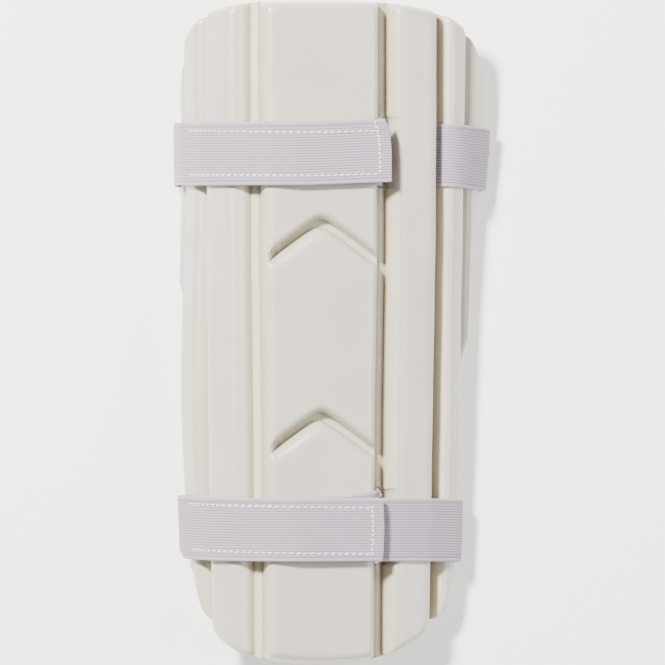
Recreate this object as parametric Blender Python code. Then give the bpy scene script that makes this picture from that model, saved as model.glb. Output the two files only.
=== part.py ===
"""Cricket arm guard: a ribbed foam shell bent round the forearm and two elastic straps.

The shell is one moulding of seven ribs on a thin sheet. It is modelled flat, as a grid over
the unfolded sheet with the rib height at each grid point, and then bent at its grooves.
Each strap runs round the shell like a taut band and closes on the middle rib.

Lengths are in millimetres until make_mesh. In the guard's own frame x runs across the arm,
y runs down the arm from the elbow end, and z points away from the arm. The world has +Y
towards the elbow end and +Z up, and the guard lies on the back spans of its straps.
"""

import math

import bmesh
import bpy
import numpy as np
from mathutils import Matrix, Vector

# Shell: overall sizes
LENGTH = 258.0
SHEET = 1.9
CENTRE_WIDTH = 46.6
RIB_WIDTHS = {1: {1: 18.6, 2: 12.9, 3: 15.0}, -1: {1: 18.6, 2: 14.6, 3: 15.0}}
RIB_HEIGHTS = {0: 9.5, 1: 8.4, 2: 7.2, 3: 5.6}
GROOVES = {1: 3.7, 2: 2.8, 3: 2.0}
SHOULDER = 4.0
SHOULDER_POWER = 2.6
FLANGE = 0.9

# Rounded ends of the outline: how far out each end's curve reaches, and how far it comes in
ELBOW_END_REACH = {1: 76.0, -1: 71.0}
ELBOW_END_RISE = 56.0
ELBOW_END_POWER = 3.4
WRIST_END_REACH = {1: 57.8, -1: 56.6}
WRIST_END_RISE = 54.0
WRIST_END_POWER = 2.6

# Bend at each groove in degrees, and the middle rib's own lean
LEAN = 10.5
BENDS = {1: {1: 21.0, 2: 24.0, 3: 12.0}, -1: {1: 57.0, 2: 19.0, 3: 13.0}}

# How the widths and the bend change along the length, as shares of the sizes above
TAPER = (
    # place, centre, first, third_right, third_left, bend_right, bend_left
    (0.00, 1.00, 1.00, 1.00, 0.78, 0.82, 0.97),
    (0.15, 1.00, 1.00, 1.00, 0.84, 0.82, 1.00),
    (0.28, 0.99, 1.00, 0.80, 0.77, 0.88, 1.01),
    (0.38, 0.99, 1.00, 0.62, 0.50, 0.94, 0.98),
    (0.50, 0.97, 1.00, 0.36, 0.14, 0.95, 0.92),
    (0.62, 0.95, 0.99, 0.08, 0.00, 0.92, 0.89),
    (0.78, 0.94, 0.97, 0.00, 0.00, 0.90, 0.94),
    (1.00, 0.93, 0.91, 0.00, 0.00, 0.92, 0.98),
)

# Chevron grooves in the middle rib: place of the apex as a share of the length
CHEVRONS = (0.335, 0.627)
CHEVRON_SLOPE = 31.0
CHEVRON_WIDTH = 2.6
CHEVRON_DEPTH = 0.72
CHEVRON_ROUNDING = 3.0

# Straps: place of the upper edge as a share of the length
STRAP_WIDTH = 24.6
STRAP_THICKNESS = 1.3
STRAP_PLACES = {"upper": 0.186, "lower": 0.7515}
TAIL_LENGTH = 31.0
ANCHOR_LENGTH = 11.0
PATCH_THICKNESS = 0.7
PATCH_INSET = 2.6
GAP = 0.3

# How far each slot reaches past its band, towards the elbow and towards the wrist
SLOT_REACH = {"upper": (3.0, 0.4), "lower": (3.8, 1.0)}

# How far each free end reaches past the middle rib, at three places across the band
STRAP_OVERHANG = {"upper": (0.8, 3.4, 3.7), "lower": (3.4, 4.0, 3.5)}

# How far each band has slipped along the arm: at its hidden end, where its loop starts, and in
# the loop by the outward direction in degrees
START_SLIP = {"upper": (-1.5, -0.4), "lower": (-0.9, -0.2)}
TAB_SLIP = -2.9
STRAP_DRIFT = {
    "upper": ((45.0, -0.4), (30.0, 0.3), (0.0, 1.8), (-90.0, 0.6), (-180.0, -1.4),
              (-215.0, -0.8), (-284.0, -0.7), (-285.0, -2.1)),
    "lower": ((65.0, -0.2), (0.0, 1.0), (-90.0, 0.0), (-180.0, -1.6), (-215.0, -0.5),
              (-284.0, -0.3), (-285.0, -0.4)),
}

# Outward directions in degrees: the band makes room for the hook patch between the first two,
# and the patch starts where the strap faces the third
ROOM_FROM, ROOM_FULL = -145.0, -165.0
PATCH_START = {"upper": -186.0, "lower": -200.0}

COLOURS = {
    "foam": (0.69, 0.665, 0.625, 1.0),
    "elastic": (0.72, 0.69, 0.73, 1.0),
    "hook": (0.62, 0.6, 0.6, 1.0),
}


# Plan of the unfolded sheet

def taper(place):
    """Row of TAPER at a share of the length, read between its rows."""
    table = np.array(TAPER)
    columns = ("centre", "first", "third_right", "third_left", "bend_right", "bend_left")
    values = [np.interp(place, table[:, 0], table[:, k + 1]) for k in range(len(columns))]
    return dict(zip(columns, values))


def plan_section(y, side):
    """Distances from the middle line to each rib's two feet, on one side."""
    row = taper(y / LENGTH)
    third = row["third_right"] if side > 0 else row["third_left"]
    full = RIB_WIDTHS[side]
    widths = {1: full[1] * row["first"], 2: full[2], 3: max(full[3] * third, FLANGE)}
    feet = {0: (0.0, CENTRE_WIDTH * row["centre"] / 2)}
    edge = feet[0][1]
    for rib in (1, 2, 3):
        start = edge + GROOVES[rib]
        edge = start + widths[rib]
        feet[rib] = (start, edge)
    return feet


def end_curve(u, reach, rise, power):
    """How far the outline has come in from the end of the middle rib at distance u."""
    share = min(abs(u) / reach, 0.999)
    return rise * (1 - (1 - share ** power) ** (1 / power))


def side_of(u):
    return 1 if u >= 0 else -1


def elbow_edge(u):
    return end_curve(u, ELBOW_END_REACH[side_of(u)], ELBOW_END_RISE, ELBOW_END_POWER)


def wrist_edge(u):
    reach = WRIST_END_REACH[side_of(u)]
    return LENGTH - end_curve(u, reach, WRIST_END_RISE, WRIST_END_POWER)


# Height of the ribs above the sheet

def shoulder(distance):
    """Share of the rib's height at a distance from its foot: a steep wall, then a round."""
    share = min(max(distance / SHOULDER, 0.0), 1.0)
    return (1 - (1 - share) ** SHOULDER_POWER) ** (1 / SHOULDER_POWER)


def soft_min(a, b, blend=2.0):
    """The smaller of two distances, with the corner between them rounded."""
    mix = max(blend - abs(a - b), 0.0) / blend
    return min(a, b) - mix * mix * blend / 4


def chevron_rise(u):
    """How far a chevron's arm has dropped from its apex at distance u."""
    arm = math.hypot(u, CHEVRON_ROUNDING) - CHEVRON_ROUNDING
    return arm * math.tan(math.radians(CHEVRON_SLOPE))


def rib_height(rib, inner, outer, u, y):
    """Height of the shell's face above the sheet's face at one point of the plan.

    inner and outer are the distances to the rib's two feet.
    """
    across = soft_min(inner, outer)
    slope = math.cos(math.atan(abs(wrist_edge(u + 1) - wrist_edge(u - 1)) / 2))
    along = soft_min(y - elbow_edge(u), (wrist_edge(u) - y) * slope)
    distance = soft_min(across, along)
    full = RIB_HEIGHTS[rib]
    if rib == 3:
        full *= min((inner + outer) / (RIB_WIDTHS[side_of(u)][3] / 3), 1.0) ** 2
    height = full * shoulder(distance)
    if rib == 0:
        for place in CHEVRONS:
            middle = place * LENGTH + chevron_rise(u)
            away = abs(y - middle) * math.cos(math.radians(CHEVRON_SLOPE))
            dip = 1 - shoulder((away - CHEVRON_WIDTH / 2) * 1.15)
            height = min(height, full * (1 - CHEVRON_DEPTH * dip))
    return max(height, 0.0)


# Bending the sheet

def bend_point(u, height, y, on_centre=False):
    """Point (x, z) of the bent section for a place on the plan and a height over the sheet.

    on_centre carries on straight in the plane of the middle rib.
    """
    side = side_of(u)
    row = taper(y / LENGTH)
    feet = plan_section(y, side)
    lean = math.radians(LEAN)
    x, z = 0.0, 0.0
    angle = side * lean
    left = abs(u)
    step = left if on_centre else min(left, feet[0][1])
    x += side * step * math.cos(angle)
    z -= step * math.sin(angle)
    left -= step
    for rib in (1, 2, 3):
        if left <= 0:
            break
        turn = math.radians(BENDS[side][rib]) * row["bend_right" if side > 0 else "bend_left"]
        groove = GROOVES[rib]
        step = min(left, groove)
        radius = groove / turn
        swept = step / radius
        x += side * radius * (math.sin(angle + swept) - math.sin(angle))
        z += radius * (math.cos(angle + swept) - math.cos(angle))
        angle += swept
        left -= step
        width = feet[rib][1] - feet[rib][0]
        step = left if rib == 3 else min(left, width)
        x += side * step * math.cos(angle)
        z -= step * math.sin(angle)
        left -= step
    return np.array((x + side * height * math.sin(angle), z + height * math.cos(angle)))


# Grid over the sheet

def columns_of_rib(rib):
    """Places across a rib: (rib, weight of the inner foot, inset) for each grid column."""
    insets = (0.0, 0.5, 1.6, SHOULDER) if rib < 3 else (0.0, 0.6, 1.8)
    inner = [(rib, 0.0, inset) for inset in insets]
    outer = [(rib, 1.0, -inset) for inset in reversed(insets)]
    middle = [(rib, 0.5, 0.0)] if rib != 2 else []
    return inner + middle + outer


def sheet_columns():
    """All grid columns from the left rim to the right rim.

    Each is (side, rib, weight, inset): on the plan the column lies at the mean of the rib's
    feet by the weight, plus the inset.
    """
    half = [(0, 0.35, 0.0), (0, 0.62, 0.0)]
    half += [(0, 1.0, -inset) for inset in (SHOULDER, 1.6, 0.5, 0.0)]
    for rib in (1, 2, 3):
        half += [("groove", rib, 0.5)] + columns_of_rib(rib)
    left = [(-1,) + column for column in reversed(half)]
    right = [(1,) + column for column in half]
    return left + [(-1, 0, 0.06, 0.0), (1, 0, 0.0, 0.0), (1, 0, 0.06, 0.0)] + right


def column_place(column, y):
    """Plan distance u, rib number, and distances to the rib's feet of a column at y."""
    side, kind, weight, inset = column[0], column[1], column[2], column[3]
    feet = plan_section(y, side)
    if kind == "groove":
        rib = column[2]
        u = feet[rib][0] - GROOVES[rib] / 2
        return side * u, None, 0.0, 0.0
    start, end = feet[kind]
    width = end - start
    room = width / 2 - 0.05
    share = min(1.0, room / SHOULDER) if kind else 1.0
    u = start + weight * width + inset * (share if kind == 3 else min(1.0, room / SHOULDER))
    inner = width * 2 if kind == 0 else u - start
    return side * u, kind, inner, end - u


def chevron_warp(u, row_place):
    """How far a grid row is lifted so that it follows the chevron next to it."""
    lift = max(chevron_rise(beside_centre()) - chevron_rise(u), 0.0)
    share = 0.0
    for place in CHEVRONS:
        middle = place * LENGTH + chevron_rise(beside_centre())
        near, far = SHOULDER * 1.3 + CHEVRON_WIDTH, SHOULDER * 1.3 + CHEVRON_WIDTH + 18.0
        away = abs(row_place - middle)
        share = max(share, min(max((far - away) / (far - near), 0.0), 1.0))
    return lift * share


def strap_span(name):
    start = STRAP_PLACES[name] * LENGTH
    return start, start + STRAP_WIDTH


def slot_span(name):
    start, end = strap_span(name)
    return start - SLOT_REACH[name][0], end + SLOT_REACH[name][1]


def beside_centre():
    """Plan distance of the groove beside the middle rib, where the grid rows are set out."""
    return CENTRE_WIDTH / 2 + GROOVES[1] / 2


def sheet_rows():
    """Places of the grid rows in the groove beside the middle rib."""
    top, bottom = elbow_edge(beside_centre()), wrist_edge(beside_centre())
    rows = []
    for inset in (0.0, 0.5, 1.6, SHOULDER):
        rows += [top + inset, bottom - inset]
    across = CHEVRON_WIDTH / 2 / math.cos(math.radians(CHEVRON_SLOPE))
    for place in CHEVRONS:
        middle = place * LENGTH + chevron_rise(beside_centre())
        for away in (0.0, 0.5, 1.6, 3.8):
            rows += [middle - across - away, middle + across + away]
    for name in STRAP_PLACES:
        start, end = slot_span(name)
        rows += [start, (start + end) / 2, end]
    rows += [LENGTH * share for share in (0.05, 0.11, 0.47, 0.52, 0.90, 0.95)]
    return sorted(rows)


def row_place(base, u):
    """Place along the guard, at plan distance u, of the grid row that is at base in the groove.

    Near the ends the rows follow the outline, and inside the middle rib the chevrons.
    """
    top, bottom = elbow_edge(beside_centre()), wrist_edge(beside_centre())
    straight_from, straight_to = LENGTH * 0.27, LENGTH * 0.72
    near_top = max(1 - (base - top) / (straight_from - top), 0.0)
    near_bottom = max(1 - (bottom - base) / (bottom - straight_to), 0.0)
    moved = (elbow_edge(u) - top) * near_top + (wrist_edge(u) - bottom) * near_bottom
    return base + moved - chevron_warp(u, base)


def slot_rows(rows, name):
    start, end = slot_span(name)
    return rows.index(start), rows.index(end)


# Strap paths

def shell_profile(y):
    """Points (x, z) all round the outside of the shell's section at y, by rib."""
    points = {}
    for column in sheet_columns():
        u, rib, inner, outer = column_place(column, y)
        if rib is None:
            continue
        if not elbow_edge(u) <= y <= wrist_edge(u):
            continue
        height = rib_height(rib, inner, outer, u, y)
        key = rib * column[0] if rib else 0
        points.setdefault(key, []).append(bend_point(u, height, y))
        if rib >= 2:
            points[key].append(bend_point(u, -SHEET, y))
    return points


def drift(name, direction):
    """How far a strap has slipped along the arm where it faces a direction in degrees."""
    table = sorted(STRAP_DRIFT[name])
    return np.interp(direction, [row[0] for row in table], [row[1] for row in table])


def loop_surround(name, y):
    """Points (x, z) of all that a strap runs round at y: the shell and its own tail."""
    skipped = 1 if name == "upper" else None
    crest = plan_section(y, 1)[0][1] - 1.6
    around = [bend_point(crest - TAIL_LENGTH, RIB_HEIGHTS[0] + GAP + STRAP_THICKNESS, y)]
    for near in np.linspace(y - 10.0, y + 10.0, 5):
        for rib, points in shell_profile(near).items():
            if rib != skipped:
                around += points
    return np.array(around)


def loop_directions(name):
    """Outward directions in degrees, from the strap's slot round the back to the top."""
    first = 2 if name == "upper" else 1
    turn = sum(BENDS[1][rib] for rib in range(1, first + 1))
    start = 90 - LEAN - turn * taper(STRAP_PLACES[name])["bend_right"] + 5
    over_ribs = np.linspace(start, -20, 15, endpoint=False)
    return np.concatenate((over_ribs, np.linspace(-20, 90 - LEAN - 360 + 3, 27)))


def patch_room(direction):
    """How much further off the shell the strap runs where the hook patch lies under it."""
    share = np.interp(direction, (ROOM_FULL, ROOM_FROM), (1.0, 0.0))
    return share * (PATCH_THICKNESS + GAP)


def outermost(around, direction, offset):
    """The point that is outermost in a direction, moved off by offset."""
    normal = np.array((math.cos(math.radians(direction)), math.sin(math.radians(direction))))
    return around[np.argmax(around @ normal)] + normal * offset


def strap_loop(name, y):
    """Middle line of the strap where it runs taut round the shell at y, as (x, z, slip)."""
    around = loop_surround(name, y)
    path = []
    for direction in loop_directions(name):
        offset = GAP + STRAP_THICKNESS / 2 + patch_room(direction)
        x, z = outermost(around, direction, offset)
        path.append((x, z, drift(name, direction)))
    start, end = strap_span(name)
    foot = plan_section(y, 1)[0][1]
    top = RIB_HEIGHTS[0] + 3 * GAP + 1.5 * STRAP_THICKNESS + PATCH_THICKNESS
    slip = drift(name, -285.0)
    x, z = bend_point(foot - 1.6 - TAIL_LENGTH + 2.0, top, y)
    path.append((x, z, path[-1][2]))
    overhang = np.interp(y, (start, (start + end) / 2, end), STRAP_OVERHANG[name])
    x, z = bend_point(foot + overhang, top, y, True)
    path.append((x, z, slip))
    return path


def patch_path(name, y):
    """Middle line of the hook patch, between the strap's last stretch and the shell."""
    around = loop_surround(name, y)
    path = []
    for direction in loop_directions(name):
        if direction < PATCH_START[name]:
            x, z = outermost(around, direction, GAP + PATCH_THICKNESS / 2)
            path.append((x, z, drift(name, direction)))
    foot = plan_section(y, 1)[0][1]
    top = RIB_HEIGHTS[0] + 2 * GAP + STRAP_THICKNESS + PATCH_THICKNESS / 2
    x, z = bend_point(foot - 1.6 - TAIL_LENGTH + 2.0, top, y)
    path.append((x, z, path[-1][2]))
    x, z = bend_point(foot - PATCH_INSET, top, y)
    path.append((x, z, drift(name, -285.0)))
    return path


def along_wall(rib, foot, toward, y, heights=(0.2, 0.5, 0.75, 0.9, 0.98)):
    """Middle line of a band that climbs a rib's wall from the groove, hugging it.

    foot is the plan distance of the wall's foot and toward is +1 if the rib lies outwards.
    """
    offset = GAP + STRAP_THICKNESS / 2
    path = []
    for share in heights:
        inset = SHOULDER * (1 - (1 - share ** SHOULDER_POWER) ** (1 / SHOULDER_POWER))
        steep = (1 - inset / SHOULDER) ** (SHOULDER_POWER - 1) / share ** (SHOULDER_POWER - 1)
        slope = math.atan(steep * RIB_HEIGHTS[rib] / SHOULDER)
        u = foot + toward * (inset - offset * math.sin(slope))
        path.append(bend_point(u, RIB_HEIGHTS[rib] * share + offset * math.cos(slope), y))
    return path


def round_edge(foot, toward, y):
    """Middle line of a band that turns from the slot to the inner side, round a rib's edge."""
    reach = GAP + STRAP_THICKNESS / 2 + 0.1
    path = []
    for angle in (0, 30, 60, 90):
        turn = math.radians(angle)
        u = foot - toward * reach * math.cos(turn)
        path.append(bend_point(u, -SHEET - reach * math.sin(turn), y))
    return path


def upper_start(y):
    """Upper strap from its tail on the middle rib, behind the first rib, to the second."""
    feet = plan_section(y, 1)
    offset = GAP + STRAP_THICKNESS / 2
    face = RIB_HEIGHTS[0] + offset
    back = -SHEET - offset
    foot = feet[0][1]
    slot = GROOVES[1]
    path = [bend_point(foot - 1.6 - back_step, face, y)
            for back_step in (TAIL_LENGTH, TAIL_LENGTH / 2, 3.0)]
    path += list(reversed(along_wall(0, foot, -1, y)))
    path += [bend_point(foot + slot * 0.33, 0.0, y), bend_point(foot + slot * 0.55, -SHEET, y)]
    path += [bend_point(foot + slot - 0.4, back + 0.2, y)]
    start, end = feet[1]
    path += [bend_point(start + share * (end - start), back, y) for share in (0.08, 0.5, 0.93)]
    slot = GROOVES[2]
    path += [bend_point(end + slot * 0.22, back + 0.2, y)]
    path += [bend_point(end + slot * 0.48, -SHEET, y)]
    path += along_wall(2, feet[2][0], 1, y, (0.2, 0.5, 0.75, 0.9))
    return path


def lower_start(y):
    """Lower strap from its end behind the first rib, out of the slot and up that rib."""
    feet = plan_section(y, 1)
    offset = GAP + STRAP_THICKNESS / 2
    back = -SHEET - offset
    start = feet[1][0]
    path = [bend_point(start + step, back, y) for step in (ANCHOR_LENGTH, 6.0, 1.6)]
    path += list(reversed(round_edge(start, 1, y)))
    path += along_wall(1, start, 1, y, (0.2, 0.5, 0.75, 0.9))
    return path


def loop_tab_path(y):
    """Loop tab of the lower strap: on the middle rib's face, down the slot, behind the rib."""
    feet = plan_section(y, 1)
    offset = GAP + STRAP_THICKNESS / 2
    face = RIB_HEIGHTS[0] + offset
    back = -SHEET - offset
    foot = feet[0][1]
    path = [bend_point(foot - 1.6 - step, face, y) for step in (TAIL_LENGTH, TAIL_LENGTH / 2, 3.0)]
    path += list(reversed(along_wall(0, foot, -1, y)))
    path += round_edge(foot, -1, y)
    path += [bend_point(foot - step, back, y) for step in (1.6, 6.0, ANCHOR_LENGTH)]
    return [(x, z, TAB_SLIP) for x, z in path]


def strap_path(name, y):
    """Whole middle line of a strap at y, from its hidden end to its free end."""
    start = upper_start(y) if name == "upper" else lower_start(y)
    slips = np.linspace(*START_SLIP[name], len(start))
    return [(x, z, slip) for (x, z), slip in zip(start, slips)] + strap_loop(name, y)


# Solids as vertices in the guard's frame and faces

def shell_solid():
    """The shell: its face, its inner side, the rim between them and the strap slots."""
    columns, rows = sheet_columns(), sheet_rows()
    face, inside = [], []
    for base in rows:
        for column in columns:
            y = row_place(base, 0.0)
            for _ in range(3):
                u = column_place(column, y)[0]
                y = row_place(base, u)
            u, rib, inner, outer = column_place(column, y)
            height = 0.0 if rib is None else rib_height(rib, inner, outer, u, y)
            x, z = bend_point(u, height, y)
            face.append((x, y, z))
            x, z = bend_point(u, -SHEET, y)
            inside.append((x, y, z))
    width, count = len(columns), len(face)
    open_cells = set()
    for name, ribs in (("upper", (1, 2)), ("lower", (1,))):
        first, last = slot_rows(rows, name)
        for rib in ribs:
            centre = columns.index((1, "groove", rib, 0.5))
            open_cells |= {(r, c) for r in range(first, last) for c in (centre - 1, centre)}
    cells = [(r, c) for r in range(len(rows) - 1) for c in range(width - 1)
             if (r, c) not in open_cells]
    faces, edges = [], {}
    for r, c in cells:
        corners = [r * width + c, (r + 1) * width + c,
                   (r + 1) * width + c + 1, r * width + c + 1]
        faces.append(corners)
        faces.append([count + k for k in reversed(corners)])
        for k in range(4):
            edges[(corners[k], corners[(k + 1) % 4])] = True
    for a, b in edges:
        if (b, a) not in edges:
            faces.append([b, a, count + a, count + b])
    return face + inside, faces


def band_solid(path_at, start, end, thickness, across=3):
    """A band of cloth: one path at each of a few places across its width, with a thickness."""
    places = np.linspace(start, end, across)
    outer, inner = [], []
    for y in places:
        path = np.array(path_at(y))
        ahead = np.vstack((path[1:], path[-1:]))
        behind = np.vstack((path[:1], path[:-1]))
        for (x, z, slip), direction in zip(path, (ahead - behind)[:, :2]):
            direction = direction / np.linalg.norm(direction)
            normal = np.array((-direction[1], direction[0])) * thickness / 2
            outer.append((x + normal[0], y + slip, z + normal[1]))
            inner.append((x - normal[0], y + slip, z - normal[1]))
    steps = len(outer) // across
    count = len(outer)
    faces, edges = [], {}
    for r in range(across - 1):
        for c in range(steps - 1):
            corners = [r * steps + c, (r + 1) * steps + c,
                       (r + 1) * steps + c + 1, r * steps + c + 1]
            faces.append(corners)
            faces.append([count + k for k in reversed(corners)])
            for k in range(4):
                edges[(corners[k], corners[(k + 1) % 4])] = True
    for a, b in edges:
        if (b, a) not in edges:
            faces.append([b, a, count + a, count + b])
    return outer + inner, faces


# Resting pose

def back_span(name):
    """Left and right lower corners (x, z) of a strap's back span, on its outer side."""
    start, end = strap_span(name)
    path = np.array(strap_loop(name, (start + end) / 2))[:, :2]
    low = path[path[:, 1] < path[:, 1].min() + STRAP_WIDTH / 5]
    half = np.array((0.0, STRAP_THICKNESS / 2))
    return low[low[:, 0].argmin()] - half, low[low[:, 0].argmax()] - half


def lowest_point(name, roll, pitch):
    """Place along the guard and height of the part of a strap that touches the floor first."""
    points = []
    for y in np.linspace(*strap_span(name), 3):
        path = np.array(strap_loop(name, y))
        heights = path[:, 1] * math.cos(roll) - path[:, 0] * math.sin(roll)
        points.append((heights.min() - y * math.tan(pitch), y, heights.min()))
    return min(points)[1:]


def rest_matrix():
    """Turns the guard's frame so that it lies on both straps' back spans."""
    rolls = []
    for name in ("upper", "lower"):
        left, right = back_span(name)
        rolls.append(math.atan2(right[1] - left[1], right[0] - left[0]))
    roll = sum(rolls) / 2
    pitch = 0.0
    for _ in range(4):
        y_upper, z_upper = lowest_point("upper", roll, pitch)
        y_lower, z_lower = lowest_point("lower", roll, pitch)
        pitch = math.atan2(z_lower - z_upper, y_lower - y_upper)
    flip = Matrix.Diagonal((1.0, -1.0, 1.0, 1.0))
    return Matrix.Rotation(pitch, 4, "X") @ Matrix.Rotation(roll, 4, "Y") @ flip


# Blender objects

def material(name, colour, roughness):
    item = bpy.data.materials.new(name)
    item.use_nodes = True
    shader = item.node_tree.nodes["Principled BSDF"]
    shader.inputs["Base Color"].default_value = colour
    shader.inputs["Roughness"].default_value = roughness
    shader.inputs["Metallic"].default_value = 0.0
    return item


def face_outward(mesh):
    shape = bmesh.new()
    shape.from_mesh(mesh)
    bmesh.ops.recalc_face_normals(shape, faces=shape.faces)
    shape.to_mesh(mesh)
    shape.free()


def make_mesh(name, solid, finish):
    """One object from a solid, in metres, lying at rest."""
    points, faces = solid
    rest = rest_matrix()
    mesh = bpy.data.meshes.new(name)
    mesh.from_pydata([(rest @ Vector(point)) * 0.001 for point in points], [], faces)
    mesh.materials.append(finish)
    face_outward(mesh)
    item = bpy.data.objects.new(name, mesh)
    bpy.context.scene.collection.objects.link(item)
    mesh.shade_smooth()
    mesh.set_sharp_from_angle(angle=math.radians(50))
    return item


def centre_on_floor(items):
    """Moves all objects' meshes so that the middle of the box's underside is the origin."""
    corners = np.array([tuple(vertex.co) for item in items for vertex in item.data.vertices])
    low, high = corners.min(axis=0), corners.max(axis=0)
    middle = Vector(((low[0] + high[0]) / 2, (low[1] + high[1]) / 2, low[2]))
    for item in items:
        item.data.transform(Matrix.Translation(-middle))


def build():
    foam = material("moulded_foam", COLOURS["foam"], 0.55)
    elastic = material("woven_elastic", COLOURS["elastic"], 0.85)
    hook = material("hook_tape", COLOURS["hook"], 0.9)
    items = [make_mesh("guard_shell", shell_solid(), foam)]
    for name in STRAP_PLACES:
        start, end = strap_span(name)
        strap = band_solid(lambda y: strap_path(name, y), start, end, STRAP_THICKNESS)
        items.append(make_mesh(name + "_strap", strap, elastic))
        patch = band_solid(lambda y: patch_path(name, y), start + PATCH_INSET,
                           end - PATCH_INSET, PATCH_THICKNESS)
        items.append(make_mesh(name + "_hook_patch", patch, hook))
    start, end = strap_span("lower")
    tab = band_solid(loop_tab_path, start, end, STRAP_THICKNESS, 2)
    items.append(make_mesh("lower_loop_tab", tab, elastic))
    centre_on_floor(items)


for old in list(bpy.data.objects):
    bpy.data.objects.remove(old, do_unlink=True)
build()
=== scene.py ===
"""Looks of the ribbed forearm guard and its two elastic straps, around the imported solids.

The foam shell is one moulding of seven ribs, modelled flat as a fine grid with the height of
each grid point, and then bent at its grooves. The straps follow the outside of the shell.
Lengths are in millimetres in the guard's own frame: x across the arm, y down the arm from the
elbow end, z away from the arm. place_in_world turns them into metres at rest.
"""

import math

import bpy
import numpy as np
from mathutils import Matrix, Vector


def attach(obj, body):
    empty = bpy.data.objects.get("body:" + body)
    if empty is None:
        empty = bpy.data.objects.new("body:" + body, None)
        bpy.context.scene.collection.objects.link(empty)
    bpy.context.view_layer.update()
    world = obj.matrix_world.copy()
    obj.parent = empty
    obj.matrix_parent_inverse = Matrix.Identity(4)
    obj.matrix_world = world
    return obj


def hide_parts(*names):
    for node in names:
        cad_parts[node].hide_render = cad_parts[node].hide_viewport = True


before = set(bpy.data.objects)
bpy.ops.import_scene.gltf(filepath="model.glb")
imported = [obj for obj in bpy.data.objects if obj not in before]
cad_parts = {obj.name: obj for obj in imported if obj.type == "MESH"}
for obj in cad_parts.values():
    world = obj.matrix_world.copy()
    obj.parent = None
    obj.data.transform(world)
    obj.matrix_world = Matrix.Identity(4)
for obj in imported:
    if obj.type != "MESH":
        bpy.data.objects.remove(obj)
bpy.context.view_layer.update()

# The shell's sizes. Tables with 1 and -1 hold the right side and the left side.
LENGTH = 258.0
SHEET = 1.9
CENTRE_WIDTH = 46.6
RIB_WIDTHS = {1: {1: 20.1, 2: 11.3, 3: 15.0}, -1: {1: 18.6, 2: 14.6, 3: 15.0}}
RIB_HEIGHTS = {0: 9.5, 1: 8.4, 2: 7.2, 3: 5.6}
GROOVES = {1: 3.7, 2: 2.8, 3: 2.0}
SHOULDER = 4.0
SHOULDER_POWER = 2.6
FLANGE = 0.9

# Superellipses that round off the two ends: half width, depth and power
ELBOW_END_REACH = {1: 76.0, -1: 71.0}
ELBOW_END_RISE = 56.0
ELBOW_END_POWER = 3.4
WRIST_END_REACH = {1: 57.8, -1: 56.6}
WRIST_END_RISE = 54.0
WRIST_END_POWER = 2.6

# Slope of the middle rib's halves and turn of each groove, in degrees
LEAN = 10.5
BENDS = {1: {1: 21.0, 2: 24.0, 3: 12.0}, -1: {1: 57.0, 2: 19.0, 3: 13.0}}

# Change along the arm: the place as a share of the length, then shares of the widths and bends
TAPER = (
    # place, centre, first, third_right, third_left, bend_right, bend_left
    (0.00, 1.00, 1.00, 1.00, 0.78, 0.82, 0.97),
    (0.15, 1.00, 1.00, 1.00, 0.84, 0.82, 1.00),
    (0.28, 0.99, 1.00, 0.80, 0.77, 0.88, 1.01),
    (0.38, 0.99, 1.00, 0.62, 0.50, 0.94, 0.98),
    (0.50, 0.97, 1.00, 0.36, 0.14, 0.95, 0.92),
    (0.62, 0.95, 0.99, 0.08, 0.00, 0.92, 0.89),
    (0.78, 0.94, 0.97, 0.00, 0.00, 0.90, 0.94),
    (1.00, 0.93, 0.91, 0.00, 0.00, 0.92, 0.98),
)
TAPER_COLUMNS = ("centre", "first", "third_right", "third_left", "bend_right", "bend_left")
TAPER_EASING = (-6.0, -3.0, 0.0, 3.0, 6.0)

# Chevron grooves: places of their points, slope in degrees, width of the floor, depth as a
# share, rounding of the point, steepness of the walls, and how the left end closes and fades
CHEVRONS = (0.335, 0.627)
CHEVRON_SLOPE = 37.0
CHEVRON_WIDTH = 2.6
CHEVRON_DEPTH = 0.72
CHEVRON_ROUNDING = 3.0
CHEVRON_STEEPNESS = {"above": 1.3, "below": 0.72}
CHEVRON_CLOSED = 1.4
CHEVRON_FADE = 4.2

# Rounding between crossing walls, unevenness of the faces, and shares by which distances from
# the left ribs' inner feet count, so that those walls are less steep
CORNER_BLEND = 2.0
UNEVENNESS = 0.22
LEFT_WALL_STRETCH = {1: 0.62, 2: 0.70, 3: 0.85}

# The straps' sizes. The middle rib's face is flat from TAIL_INSET in, and a strap comes down
# on its tail TAIL_LAP in from the tail's end.
STRAP_WIDTH = 24.6
STRAP_THICKNESS = 1.3
STRAP_PLACES = {"upper": 0.186, "lower": 0.7515}
TAIL_LENGTH = 31.0
TAIL_INSET = 1.6
TAIL_LAP = 2.0
ANCHOR_LENGTH = 11.0
PATCH_THICKNESS = 0.7
PATCH_INSET = 2.6
GAP = 0.3

# How far each slot reaches past the band's two edges
SLOT_REACH = {"upper": (3.0, 0.4), "lower": (3.8, 1.0)}

# Slip of the bands along the arm: at both ends of a strap's start, at steps of the loop tab's
# path, and by outward direction in degrees on the rest of each strap
START_SLIP = {"upper": (-0.9, -0.6), "lower": (-0.9, -0.2)}
TAB_SLIP = ((0, -0.6), (1, -0.9), (2, -2.6), (4, -3.4), (20, -2.9))
FREE_END_DIRECTION = -285.0
STRAP_DRIFT = {
    "upper": ((45.0, -0.4), (30.0, 0.3), (0.0, 1.8), (-90.0, 0.6), (-180.0, -1.4),
              (-215.0, -0.8), (-284.0, -0.7), (FREE_END_DIRECTION, -2.1)),
    "lower": ((65.0, -0.2), (0.0, 1.0), (-90.0, 0.0), (-180.0, -1.6), (-215.0, -0.5),
              (-284.0, -0.3), (FREE_END_DIRECTION, -0.4)),
}

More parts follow.
